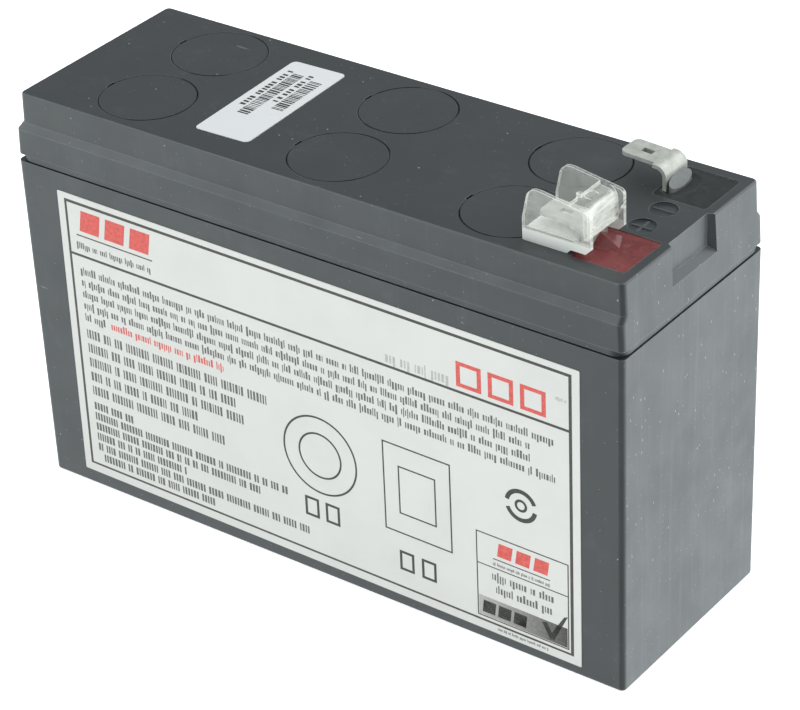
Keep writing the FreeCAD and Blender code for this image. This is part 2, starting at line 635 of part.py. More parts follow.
def upright(cell, kind):
    """Part of a strap that stands against the partition, with its weld on the negative side."""
    place = CELLS.index(cell)
    step = place if kind == "negative" else place - 1
    if step < 0 or step >= len(CELLS) - 1:
        return []
    middle, way = list(weld_places())[step]
    sign = -1 if kind == "negative" else 1
    near = middle + way * (sign * PARTITION / 2)
    far = near + way * (sign * UPRIGHT)
    half = V(abs(way.y), abs(way.x), 0) * (UPRIGHT_WIDTH / 2)
    xs, ys = sorted((near.x, far.x)), sorted((near.y, far.y))
    pieces = [box(xs[0] - half.x, xs[1] + half.x, ys[0] - half.y, ys[1] + half.y,
                  STRAP_BOTTOM, STRAP_BOTTOM + UPRIGHT_HEIGHT)]
    if kind == "negative":
        pieces.append(through_partition(middle, way, WELD_R, PARTITION))
    return pieces


def plates(cell, kind):
    """All plates of one kind with their lugs and strap, cast together."""
    x, _ = cell_middle(*cell)
    half = CELL_X / 2 - PLATE_END_GAP
    lug = strap_x(cell, kind)
    pieces, ys = [], []
    for layer, y0, y1 in layers(cell[1]):
        if layer == kind:
            pieces.append(box(x - half, x + half, y0, y1, FLOOR, PLATE_TOP))
            pieces.append(box(lug - LUG_WIDTH / 2, lug + LUG_WIDTH / 2, y0, y1, PLATE_TOP, STRAP_BOTTOM))
            ys += [y0, y1]
    join = upright(cell, kind)
    for piece in join[:1]:
        ys += [piece.BoundBox.YMin, piece.BoundBox.YMax]
    pieces.append(box(lug - STRAP_WIDTH / 2, lug + STRAP_WIDTH / 2, min(ys), max(ys),
                      STRAP_BOTTOM, STRAP_TOP))
    return fuse(pieces + join)


def separators(cell):
    x, _ = cell_middle(*cell)
    half = CELL_X / 2 - PLATE_END_GAP + SEPARATOR_OVER
    return Part.makeCompound([box(x - half, x + half, y0, y1, FLOOR, PLATE_TOP + SEPARATOR_OVER)
                              for layer, y0, y1 in layers(cell[1]) if layer == "separator"])


# ---- labels ----

def front_label():
    """Sheet on the leaning long side of the case."""
    sheet = slab(LENGTH - LABEL_LEFT - LABEL_RIGHT, CASE_HEIGHT - LABEL_BELOW - LABEL_ABOVE,
                 LABEL_R, 0, LABEL)
    sheet.rotate(V(0, 0, 0), Z, -LABEL_TURN)
    sheet.rotate(V(0, 0, 0), V(1, 0, 0), 90)
    sheet.translate(V((LABEL_LEFT - LABEL_RIGHT) / 2, 0, (CASE_HEIGHT + LABEL_BELOW - LABEL_ABOVE) / 2))
    sheet.rotate(V(0, 0, 0), V(1, 0, 0), degrees(atan(TAPER_Y / CASE_HEIGHT)))
    sheet.translate(V(0, -WIDTH / 2 + TAPER_Y, 0))
    return sheet


def top_label():
    sheet = slab(TAG_LENGTH, TAG_WIDTH, TAG_R, HEIGHT, HEIGHT + LABEL)
    sheet.rotate(V(0, 0, 0), Z, TAG_TURN)
    middle = (vent_place(-1, 1)[0] + vent_place(0, 1)[0]) / 2
    sheet.translate(V(middle + TAG_SHIFT[0], TAG_SHIFT[1], 0))
    return sheet


save("case", case())
save("cover", cover())
for number, place in enumerate(CELLS, 1):
    save("vent_disc_%d" % number, vent_disc(*vent_place(*place)))
    save("valve_%d" % number, valve(*vent_place(*place)))
    save("cell_%d_positive_plates" % number, plates(place, "positive"))
    save("cell_%d_negative_plates" % number, plates(place, "negative"))
    save("cell_%d_separators" % number, separators(place))
for name in TERMINALS:
    save("post_" + name, post(name))
    save("post_seal_" + name, post_seal(name))
    save("tab_" + name, tab(name))
    save("potting_" + name, potting(name))
save("terminal_cap", cap())
save("front_label", front_label())
save("top_label", top_label())
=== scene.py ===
"""Battery block with a see-through terminal cap, dressed over its CAD frame.

Each operator finishes one group of pieces. Sizes are in metres and come from the frame or from
the settings below. Run as a script, it makes every piece in order.
"""

import math
import random

import bmesh
import bpy
from bpy.props import FloatProperty, FloatVectorProperty, IntProperty, PointerProperty
from mathutils import Matrix, Vector


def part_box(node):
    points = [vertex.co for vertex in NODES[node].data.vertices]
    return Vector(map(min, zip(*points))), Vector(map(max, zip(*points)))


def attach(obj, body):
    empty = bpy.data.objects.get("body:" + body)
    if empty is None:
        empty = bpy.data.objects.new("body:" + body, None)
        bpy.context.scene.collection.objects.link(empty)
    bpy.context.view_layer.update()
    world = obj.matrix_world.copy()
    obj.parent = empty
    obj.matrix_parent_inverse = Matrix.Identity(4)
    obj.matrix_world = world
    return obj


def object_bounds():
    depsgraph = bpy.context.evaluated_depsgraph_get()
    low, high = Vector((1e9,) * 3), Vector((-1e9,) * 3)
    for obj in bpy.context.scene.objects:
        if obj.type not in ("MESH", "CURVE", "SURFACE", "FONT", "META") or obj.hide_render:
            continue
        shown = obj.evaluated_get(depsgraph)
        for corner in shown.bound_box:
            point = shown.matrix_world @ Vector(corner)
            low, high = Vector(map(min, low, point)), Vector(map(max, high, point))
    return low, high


bl_info = {
    "name": "Battery Block",
    "version": (1, 0, 0),
    "blender": (4, 5, 0),
    "location": "View3D > Sidebar > Battery",
    "description": "Finishes a sealed battery block with printed labels and a terminal cap",
    "category": "Object",
}

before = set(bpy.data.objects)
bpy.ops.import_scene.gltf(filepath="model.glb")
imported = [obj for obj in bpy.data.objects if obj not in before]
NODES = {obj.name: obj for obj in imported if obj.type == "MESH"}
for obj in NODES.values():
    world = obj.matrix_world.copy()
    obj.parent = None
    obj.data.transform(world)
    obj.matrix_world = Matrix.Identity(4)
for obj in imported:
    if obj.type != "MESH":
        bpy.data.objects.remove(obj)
CAD_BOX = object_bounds()

MM = 0.001
INK_LIFT = 0.015 * MM      # how far print stands off its film
INK_SINK = 0.010 * MM      # how far it reaches into the film
UP = Vector((0, 0, 1))

# The room's soft panels: the way each lies, and where its light starts and is full, as cosines.
FRONT_PANEL = ((-0.85, -0.53, 0), 0.55, 0.92)
HIGH_PANEL = ((-0.52, -0.52, 0.68), 0.82, 0.97)
END_PANEL = ((0.65, 0.76, 0), 0.30, 0.80)
OVERHEAD_PANEL = ((0, 0, 1), 0.70, 0.95)
LOW_PANEL = ((0, 0, -1), 0.62, 0.90)


LAMP_AWAY = Vector((0.35, 0.25, 0.75))      # from the middle of the block
LAMP_SIZE = 0.80
FLOOR_HALF = 3.0
ROOM_TINT = (0.91, 0.98, 1.0, 1)
SENSOR = 36      # millimetres

# The side label's print, in millimetres from the label's middle. A row has the height of its tall
# blocks, and each tuple of ends says where its rows stop.
TEXT_LEFT = -61.3
PARAGRAPH_TOP = 17.0
PARAGRAPH_STEP = 2.88
PARAGRAPH_TALL = 1.85
PARAGRAPH_ENDS = (60.9, 55.0, 54.3, 61.1)
PARAGRAPH_LAST = 5.4
NOTE_TOP = 1.2
NOTE_STEP = 3.62
NOTE_TALL = 2.25
NOTE_ENDS = (-10.8, -20.3, -18.7, -29.6, -24.0)
LIST_TOP = -17.3
LIST_STEP = 2.68
LIST_TALL = 1.9
LIST_ENDS = (-49.7, -8.0, -15.3, -35.4, -2.4, -27.5)
LIST_INDENT = 1.4
BOLD = (0.17, 0.32)      # widths of a bold row's blocks, as shares of its height
RULE_LEFT = 0.62         # lines of the border
RULE_BOTTOM = 0.50
RULE_RIGHT = 0.72
RULE_TOP = 0.68
BOX_LINE = 0.28
FRAME_LINE = 0.35
RING_MIDDLE = (1.3, -7.7)
RING_LINE = 0.45
SIGN_MIDDLE = (51.7, -1.1)
BAND_LEFT = 40.9
BAND_RIGHT = 62.5
TAG_ROW = 1.15           # step of the tag's short blocks


# Settings


def colour(name, description, default):
    return FloatVectorProperty(
        name=name, description=description, default=default, subtype="COLOR", min=0, max=1, size=3
    )


def length(name, description, default):
    return FloatProperty(name=name, description=description, default=default, min=0, unit="LENGTH")


def share(name, description, default):
    return FloatProperty(name=name, description=description, default=default, min=0, max=1, subtype="FACTOR")


def strength(name, description, default):
    return FloatProperty(name=name, description=description, default=default, min=0)


class BATTERY_PG_moulding(bpy.types.PropertyGroup):
    """Colours, worn places and painted edge highlights of the dark case, cover and vent discs."""

    body: colour("Body", "Colour of the moulded plastic", (0.020, 0.023, 0.025))
    # The scuff colour also paints the highlight along sharp edges.
    scuff_and_highlight: colour("Scuffs", "Colour of rubbed and streaked places", (0.17, 0.19, 0.195))
    dust: colour("Dust", "Colour of the dust specks", (0.75, 0.76, 0.74))
    speck: length("Speck spacing", "About how far dust specks lie apart", 3.2 * MM)
    streaks: share("Streaks", "Strength of the draw streaks down the ends", 0.16)
    # gap also places the painted shadow ring round each vent disc.
    gap: length("Vent gap", "Gap round each vent disc", 0.2 * MM)
    gloss: share("Roughness", "Roughness of the plastic", 0.38)


class BATTERY_PG_metal(bpy.types.PropertyGroup):
    """Colours of the blades, posts and plates."""

    tin: colour("Tin", "Colour of the plated blades", (0.44, 0.435, 0.395))
    lead: colour("Lead", "Colour of the cast lead", (0.155, 0.158, 0.158))
    brown: colour("Positive plates", "Colour of the positive paste", (0.16, 0.09, 0.06))
    grey: colour("Negative plates", "Colour of the negative paste", (0.28, 0.29, 0.30))
    mat: colour("Separators", "Colour of the glass mat", (0.85, 0.85, 0.82))
    rubber: colour("Rubber", "Colour of the valves and post seals", (0.03, 0.03, 0.03))


class BATTERY_PG_resin(bpy.types.PropertyGroup):
    """Colours of the poured resin round the terminals."""

    red: colour("Red", "Colour of the resin at the positive terminal", (0.15, 0.026, 0.026))
    # pink and chalk also colour the painted highlight along each resin's rim.
    pink: colour("Red, thin", "Colour where the red resin is thin or rubbed", (0.42, 0.13, 0.12))
    black: colour("Black", "Colour of the resin at the negative terminal", (0.018, 0.019, 0.019))
    chalk: colour("Black, rubbed", "Colour where the black resin is scuffed", (0.42, 0.42, 0.40))


class BATTERY_PG_cap(bpy.types.PropertyGroup):
    """Look of the see-through cap."""

    tint: colour("Tint", "Colour of the cap's plastic", (0.80, 0.80, 0.74))
    # white is the colour, and rim the width, of the painted highlight along the cap's edges.
    white: colour("Rims", "Colour of the cap's bright rims", (0.90, 0.90, 0.86))
    haze: share("Plate milkiness", "How much the lower plate hides what is behind", 0.86)
    wing: share("Wing milkiness", "How much the thin wings hide what is behind", 0.20)
    rim: length("Rim width", "How far the rims' brightness reaches", 0.26 * MM)
    foot: length("Milky foot", "Height of the milky lower part of the wings", 2.7 * MM)


class BATTERY_PG_label(bpy.types.PropertyGroup):
    """Film and inks of the side label and the narrow tag."""

    film: colour("Film", "Colour of the label film", (0.590, 0.580, 0.550))
    tag: colour("Tag film", "Colour of the tag's film", (0.610, 0.605, 0.605))
    dark: colour("Dark ink", "Colour of the dark print", (0.022, 0.021, 0.019))
    grey: colour("Grey ink", "Colour of the paragraph print", (0.080, 0.078, 0.074))
    line: colour("Line ink", "Colour of the border and the rules", (0.036, 0.032, 0.026))
    band: colour("Band ink", "Colour of the shaded band at its dark end", (0.040, 0.034, 0.030))
    pale: colour("Pale ink", "Colour of the faint print", (0.33, 0.33, 0.31))
    red: colour("Red ink", "Colour of the red print", (0.50, 0.062, 0.048))
    seed: IntProperty(name="Word seed", description="Sets the lengths of the word blocks", default=7, min=0)


class BATTERY_PG_stage(bpy.types.PropertyGroup):
    """Camera, lights and floor."""

    floor: colour("Floor", "Colour of the floor", (0.86, 0.86, 0.86))
    glow: strength("Floor glow", "How strongly the floor shines", 0.62)
    base: strength("Room", "Brightness of the room", 0.42)
    front: strength("Front panel", "Added brightness of the soft panel that faces the label", 1.50)
    high: strength("High panel", "Added brightness of the soft panel above that one", 1.10)
    end: strength("End panel", "Added brightness of the soft panel that faces the terminal end", 1.90)
    over: strength("Overhead panel", "Added brightness of the soft panel overhead", 0.50)
    low: strength("Low panel", "Added brightness from below, as off a pale floor", 1.40)
    lamp: strength("Lamp", "Power of the soft lamp overhead, in watts", 1.8)
    azimuth: FloatProperty(
        name="Azimuth", description="Camera's turn about the block", default=math.radians(37.58),
        subtype="ANGLE",
    )
    elevation: FloatProperty(
        name="Elevation", description="Camera's height angle", default=math.radians(31.48), subtype="ANGLE"
    )
    roll: FloatProperty(
        name="Roll", description="Camera's turn about its own line of sight", default=math.radians(-2.67),
        subtype="ANGLE",
    )
    place: FloatVectorProperty(
        name="Camera place", description="Where the camera stands", default=(0.3509, -0.4510, 0.3912),
        subtype="XYZ", unit="LENGTH", size=3,
    )
    lens: FloatProperty(name="Lens", description="Focal length in millimetres", default=143.16)


GROUPS = {
    "battery_moulding": BATTERY_PG_moulding,
    "battery_metal": BATTERY_PG_metal,
    "battery_resin": BATTERY_PG_resin,
    "battery_cap": BATTERY_PG_cap,
    "battery_label": BATTERY_PG_label,
    "battery_stage": BATTERY_PG_stage,
}


# Materials


class Finish:
    """A node material being put together. Its coordinates are the block's own, in millimetres."""

    def __init__(self, name):
        self.material = bpy.data.materials.new(name)
        self.material.use_nodes = True
        self.tree = self.material.node_tree
        self.tree.nodes.clear()
        self.output = self.tree.nodes.new("ShaderNodeOutputMaterial")
        self.shader = self.tree.nodes.new("ShaderNodeBsdfPrincipled")
        self.link(self.shader.outputs["BSDF"], self.output.inputs["Surface"])
        place = self.add("ShaderNodeTexCoord")
        self.mm = self.vector_math("SCALE", place.outputs["Object"], scale=1 / MM)
        self.way = self.add("ShaderNodeNewGeometry").outputs["True Normal"]

    def add(self, kind, **values):
        node = self.tree.nodes.new(kind)
        for key, value in values.items():
            setattr(node, key, value)
        return node

    def link(self, start, end):
        self.tree.links.new(start, end)

    def feed(self, socket, value):
        """Links an output to the socket, or sets a plain value on it."""
        if isinstance(value, bpy.types.NodeSocket):
            self.link(value, socket)
        elif hasattr(value, "__len__") and len(value) == 3 and socket.type == "RGBA":
            socket.default_value = (*value, 1)
        else:
            socket.default_value = value

    def maths(self, operation, a, b=0.0):
        node = self.add("ShaderNodeMath", operation=operation)
        for socket, value in zip(node.inputs, (a, b)):
            self.feed(socket, value)
        return node.outputs[0]

    def vector_math(self, operation, a, b=None, scale=None):
        node = self.add("ShaderNodeVectorMath", operation=operation)
        self.feed(node.inputs[0], a)
        if b is not None:
            self.feed(node.inputs[1], b)
        if scale is not None:
            node.inputs["Scale"].default_value = scale
        return node.outputs["Value" if operation == "DOT_PRODUCT" else "Vector"]

    def stretched(self, x, y, z):
        """The coordinates with each axis multiplied by its own number."""
        return self.vector_math("MULTIPLY", self.mm, (x, y, z))

    def part_of(self, vector, axis):
        node = self.add("ShaderNodeSeparateXYZ")
        self.link(vector, node.inputs[0])
        return node.outputs[axis]

    def noise(self, size, detail=3.0, at=None, roughness=0.55):
        """Soft noise whose blotches are about size millimetres across, from 0 to 1."""
        node = self.add("ShaderNodeTexNoise")
        self.link(at or self.mm, node.inputs["Vector"])
        node.inputs["Scale"].default_value = 1 / size
        node.inputs["Detail"].default_value = detail
        node.inputs["Roughness"].default_value = roughness
        return node.outputs["Fac"]

    def between(self, value, low, high, to_low=0.0, to_high=1.0):
        """value carried from low..high to to_low..to_high, and held there beyond."""
        node = self.add("ShaderNodeMapRange", clamp=True)
        for socket, number in zip(node.inputs, (value, low, high, to_low, to_high)):
            self.feed(socket, number)
        return node.outputs[0]

    def mixed(self, amount, first, second):
        """A number that goes from first to second as amount goes from 0 to 1."""
        node = self.add("ShaderNodeMix", data_type="FLOAT")
        sockets = (node.inputs[0], node.inputs[2], node.inputs[3])
        for socket, value in zip(sockets, (amount, first, second)):
            self.feed(socket, value)
        return node.outputs[0]

    def blend(self, amount, first, second):
        node = self.add("ShaderNodeMix", data_type="RGBA")
        self.feed(node.inputs["Factor"], amount)
        self.feed(node.inputs[6], first)
        self.feed(node.inputs[7], second)
        return node.outputs[2]

    def specks(self, spacing, size, kept, at=None):
        """1 inside small scattered specks, 0 elsewhere. kept is the share of cells that hold one."""
        node = self.add("ShaderNodeTexVoronoi")
        self.link(at or self.mm, node.inputs["Vector"])
        node.inputs["Scale"].default_value = 1 / spacing
        near = self.between(node.outputs["Distance"], size / spacing * 0.6, size / spacing, 1.0, 0.0)
        lucky = self.maths("LESS_THAN", self.part_of(node.outputs["Color"], 0), kept)
        return self.maths("MULTIPLY", near, lucky)

    def seat_gap_shadow(self, seats, radius):
        """1 within a hair of a circle of this radius about the nearest of the seats' middles."""
        flat = self.stretched(1, 1, 0)
        nearest = None
        for x, y in seats:
            away = self.add("ShaderNodeVectorMath", operation="DISTANCE")
            self.link(flat, away.inputs[0])
            away.inputs[1].default_value = (x, y, 0)
            reach = away.outputs["Value"]
            nearest = self.maths("MINIMUM", nearest, reach) if nearest else reach
        off = self.maths("ABSOLUTE", self.maths("SUBTRACT", nearest, radius))
        return self.between(off, 0.18, 0.32, 1.0, 0.0)

    def edges(self, radius, sharp=0.80):
        """1 along the piece's sharp edges, fading over radius millimetres.

        sharp is the cosine of the turn that counts in full.
        """
        bevel = self.add("ShaderNodeBevel", samples=4)
        bevel.inputs["Radius"].default_value = radius * MM
        flat = self.vector_math("DOT_PRODUCT", bevel.outputs[0], self.way)
        return self.between(flat, 0.99, sharp)

    def bump(self, height, depth):
        """Uneven surface, with height from 0 to 1 standing depth millimetres."""
        node = self.add("ShaderNodeBump")
        node.inputs["Distance"].default_value = depth * MM
        node.inputs["Strength"].default_value = 1.0
        self.link(height, node.inputs["Height"])
        self.link(node.outputs[0], self.shader.inputs["Normal"])

    def set(self, **values):
        names = {
            "colour": "Base Color", "roughness": "Roughness", "metallic": "Metallic", "alpha": "Alpha",
            "gloss": "Specular IOR Level",
        }
        for key, value in values.items():
            self.feed(self.shader.inputs[names[key]], value)


def moulded_plastic(name, settings, wear_and_highlight, seats=(), seat_radius=0.0):
    """Dark satin plastic with a fine grain, faint draw streaks, scuffs, scratches and dust, and sharp edges
    lightened partly as worn plastic and partly as a painted highlight.

    seats are the middles of round seats of seat_radius, in millimetres; round each of them a thin near-black
    ring of painted shadow lies over the gap.
    """
    made = Finish(name)
    body = Vector(settings.body)
    cloud = made.between(made.noise(14, 4), 0.35, 0.70)
    shade = made.blend(cloud, body * 0.93, body * 1.08)

    upright = made.between(made.maths("ABSOLUTE", made.part_of(made.way, 2)), 0.2, 0.5, 1.0, 0.0)
    at_end = made.between(made.maths("ABSOLUTE", made.part_of(made.way, 0)), 0.3, 0.7, 0.25, 1.0)
    streak = made.between(made.noise(1.6, 4, made.stretched(1.0, 1.0, 0.03), 0.7), 0.52, 0.80)
    streak = made.maths("MULTIPLY", streak, made.maths("MULTIPLY", upright, at_end))
    shade = made.blend(made.maths("MULTIPLY", streak, settings.streaks), shade, settings.scuff_and_highlight)

    rub = made.maths("MULTIPLY", made.between(made.noise(7, 6, roughness=0.7), 0.58, 0.75), 0.08)
    shade = made.blend(rub, shade, settings.scuff_and_highlight)
    scratch = made.between(made.noise(0.8, 2, made.stretched(0.07, 0.5, 1.0)), 0.735, 0.77)
    scratch = made.maths("MULTIPLY", scratch, made.between(made.noise(16, 1), 0.50, 0.60))
    shade = made.blend(made.maths("MULTIPLY", scratch, 0.2), shade, settings.dust)
    # Painted highlight: sharp edges are lightened towards the scuff colour, partly as worn plastic and partly
    # standing in for the light they catch.
    edge = made.maths("MULTIPLY", made.edges(0.32, 0.90), made.between(made.noise(3, 3), 0.3, 0.7, 0.4, 1.0))
    shade = made.blend(made.maths("MULTIPLY", edge, wear_and_highlight), shade, settings.scuff_and_highlight)

    fine = made.maths("MULTIPLY", made.specks(1.3, 0.12, 0.32), 0.28)
    coarse = made.maths("MULTIPLY", made.specks(settings.speck / MM, 0.19, 0.24), 0.42)
    flecks = made.maths("MULTIPLY", made.specks(1.4, 0.14, 0.22, made.stretched(1.0, 1.0, 0.35)), at_end)
    flecks = made.maths("MULTIPLY", flecks, 0.28)
    dust = made.maths("MAXIMUM", made.maths("MAXIMUM", fine, coarse), flecks)
    shade = made.blend(dust, shade, settings.dust)
    smear = made.between(made.noise(9, 5), 0.3, 0.7, settings.gloss - 0.05, settings.gloss + 0.07)
    rough = made.maths("ADD", smear, made.maths("MULTIPLY", dust, 0.3))
    # Painted shadow: a near-black ring, with its roughness raised to full, is laid over the gap round each
    # vent seat.
    if seats:
        gap = made.seat_gap_shadow(seats, seat_radius)
        gap = made.maths("MULTIPLY", gap, made.between(made.noise(11, 1), 0.42, 0.58, 0.20, 1.0))
        shade = made.blend(gap, shade, (0.001, 0.001, 0.001))
        rough = made.mixed(gap, rough, 1.0)
    made.set(colour=shade, roughness=rough, gloss=0.72)
    made.bump(made.noise(0.22, 2), 0.006)
    return made.material


def tinned_strip(name, settings):
    """Rolled strip with a dull tin plating, brushed along its length."""
    made = Finish(name)
    tin = Vector(settings.tin)
    brushed = made.noise(0.5, 3, made.stretched(0.25, 2.0, 0.25))
    stain = made.between(made.noise(2.2, 4), 0.35, 0.75)
    shade = made.blend(stain, tin * 1.08, tin * 0.74)
    made.set(
        colour=shade, metallic=0.35,
        roughness=made.between(brushed, 0.3, 0.7, 0.36, 0.50),
    )
    made.bump(brushed, 0.01)
    return made.material


def cast_metal(name, tint, grain):
    """Dull cast or pasted metal with a coarse grain."""
    made = Finish(name)
    tint = Vector(tint)
    rough = made.noise(grain, 5)
    made.set(
        colour=made.blend(made.between(rough, 0.3, 0.7), tint * 0.75, tint * 1.25),
        metallic=0.25, roughness=made.between(rough, 0.3, 0.7, 0.45, 0.70),
    )
    made.bump(rough, 0.05)
    return made.material


def soft_rubber(name, tint):
    """Matte rubber with a light bloom."""
    made = Finish(name)
    tint = Vector(tint)
    bloom = made.between(made.noise(1.5, 4), 0.45, 0.75)
    made.set(colour=made.blend(bloom, tint, tint * 2.2), roughness=made.between(bloom, 0, 1, 0.62, 0.80))
    made.bump(made.noise(0.3, 3), 0.01)
    return made.material


def glass_mat(name, tint):
    """Felted glass fibre."""
    made = Finish(name)
    tint = Vector(tint)
    fibre = made.noise(0.35, 5, made.stretched(1.0, 1.0, 0.25), 0.7)
    made.set(colour=made.blend(made.between(fibre, 0.3, 0.7), tint * 0.8, tint), roughness=0.9)
    made.bump(fibre, 0.08)
    return made.material


def poured_resin(name, main, rubbed_and_highlight, creased):
    """Glossy resin with thin pale lines in its low creases and a painted highlight along its rim."""
    made = Finish(name)
    main = Vector(main)
    patch = made.between(made.noise(5.5, 3), 0.35, 0.70)
    shade = made.blend(patch, main * 0.82, main * 1.25)
    fold = made.maths("ABSOLUTE", made.maths("SUBTRACT", made.noise(4.0, 2), 0.5))
    crease = made.maths("MULTIPLY", made.between(fold, 0.0, 0.012, 1.0, 0.0), creased)
    # Painted highlight: the resin's sharp edges are lightened towards the pale colour.
    rim = made.maths("MULTIPLY", made.edges(0.40), 0.40)
    shade = made.blend(made.maths("MAXIMUM", crease, rim), shade, rubbed_and_highlight)
    made.set(colour=shade, roughness=made.between(patch, 0, 1, 0.24, 0.36), gloss=0.30)
    made.bump(made.noise(3.5, 2), 0.05)
    return made.material


def clear_cap(name, settings, bottom, level):
    """See-through plastic with a painted white highlight along its rims: clear wings and roof, a streaky
    wall, a milky plate.

    bottom and level are heights in millimetres: the cap's lower edge, and what parts plate and roof.
    """
    made = Finish(name)
    tint = Vector(settings.tint)
    haze = made.between(made.noise(1.8, 4), 0.3, 0.7)
    drawn = made.between(made.noise(0.9, 4, made.stretched(1.0, 0.22, 1.0), 0.65), 0.35, 0.70)
    on_wing = made.between(made.maths("ABSOLUTE", made.part_of(made.way, 1)), 0.80, 0.97)
    flat = made.between(made.maths("ABSOLUTE", made.part_of(made.way, 2)), 0.55, 0.80)
    low = made.maths("LESS_THAN", made.part_of(made.mm, 2), level)
    on_plate = made.maths("MULTIPLY", flat, low)

    cover = made.mixed(flat, made.between(drawn, 0, 1, 0.30, 0.82), made.between(drawn, 0, 1, 0.03, 0.24))
    cover = made.mixed(on_plate, cover, made.between(haze, 0, 1, settings.haze - 0.08, settings.haze + 0.08))
    cover = made.mixed(on_wing, cover, made.between(haze, 0, 1, settings.wing - 0.06, settings.wing + 0.08))
    foot = bottom + settings.foot / MM
    on_foot = made.between(made.part_of(made.mm, 2), foot - 0.3, foot + 0.3, 0.80, 0.0)
    cover = made.mixed(on_foot, cover, 0.90)
    # Painted highlight: the cap's edges are made whiter and less clear.
    rim = made.edges(settings.rim / MM)
    cover = made.mixed(rim, cover, 0.85)
    shade = made.blend(on_wing, tint, tint * 0.84)
    shade = made.blend(made.maths("MAXIMUM", rim, on_foot), shade, settings.white)
    made.set(colour=shade, alpha=cover, roughness=made.between(haze, 0, 1, 0.10, 0.24))
    made.bump(made.noise(1.2, 3), 0.03)
    return made.material


def printed_film(name, tint, stained):
    """Label film with a satin face, faint stains and a slightly grey rim."""
    made = Finish(name)
    tint = Vector(tint)
    stain = made.between(made.noise(18, 5), 0.45, 0.80)
    shade = made.blend(made.maths("MULTIPLY", stain, stained), tint, tint * 0.88)
    shade = made.blend(made.maths("MULTIPLY", made.edges(0.3), 0.35), shade, tint * 0.55)
    made.set(colour=shade, roughness=made.between(made.noise(5, 3), 0.3, 0.7, 0.36, 0.46))
    made.bump(made.noise(6, 2), 0.02)
    return made.material


def ink(name, tint):
    """Printing ink, a little uneven in its cover."""
    made = Finish(name)
    tint = Vector(tint)
    cover = made.between(made.noise(0.8, 3), 0.35, 0.70)
    made.set(colour=made.blend(cover, tint, tint * 1.35 + Vector((0.01,) * 3)), roughness=0.45)
    return made.material


def shaded_ink(name, light, dark, ends):
    """Ink that darkens from one end of a band, given in millimetres along X, to the other."""
    made = Finish(name)
    along = made.between(made.part_of(made.mm, 0), ends[0], ends[1], 0.42, 1.0)
    speckle = made.between(made.noise(0.7, 3), 0.3, 0.7, -0.05, 0.05)
    made.set(colour=made.blend(made.maths("ADD", along, speckle), light, dark), roughness=0.45)
    return made.material


def finish_nodes(names, material):
    """Gives each named CAD node the material in all of its slots."""
    for name in names:
        mesh_object = NODES[name]
        if not mesh_object.material_slots:
            mesh_object.data.materials.append(None)
        for place in mesh_object.material_slots:
            place.link = "OBJECT"
            place.material = material


def nodes_named(start):
    return sorted(name for name in NODES if name.startswith(start))


# Print


class Sheet:
    """The printed face of a flat film node: its middle, and the ways along, across and out."""

    def __init__(self, node, outward):
        mesh = NODES[node].data
        outward = Vector(outward)
        faces = [face for face in mesh.polygons if face.normal.dot(outward) > 0.9]
        area = sum(face.area for face in faces)
        self.out = sum((face.normal * face.area for face in faces), Vector()).normalized()
        self.middle = sum((face.center * face.area for face in faces), Vector()) / area
        straight = self.longest_side(mesh, faces)
        side = (straight - self.out * straight.dot(self.out)).normalized()
        if abs(side.x) < abs(side.cross(self.out).x):
            side = side.cross(self.out)
        self.along = side if side.x > 0 else -side
        self.across = self.out.cross(self.along)
        spread = [mesh.vertices[i].co - self.middle for face in faces for i in face.vertices]
        self.length = 2 * max(point.dot(self.along) for point in spread)
        self.width = 2 * max(point.dot(self.across) for point in spread)

    @staticmethod
    def longest_side(mesh, faces):
        """The longest edge of the face's outline, which no two of its triangles share."""
        uses = {}
        for face in faces:
            for key in face.edge_keys:
                uses[key] = uses.get(key, 0) + 1
        sides = [mesh.vertices[b].co - mesh.vertices[a].co for (a, b), count in uses.items() if count == 1]
        return max(sides, key=lambda side: side.length)

    def at(self, u, v, lift=0.0):
        return self.middle + self.along * u * MM + self.across * v * MM + self.out * lift


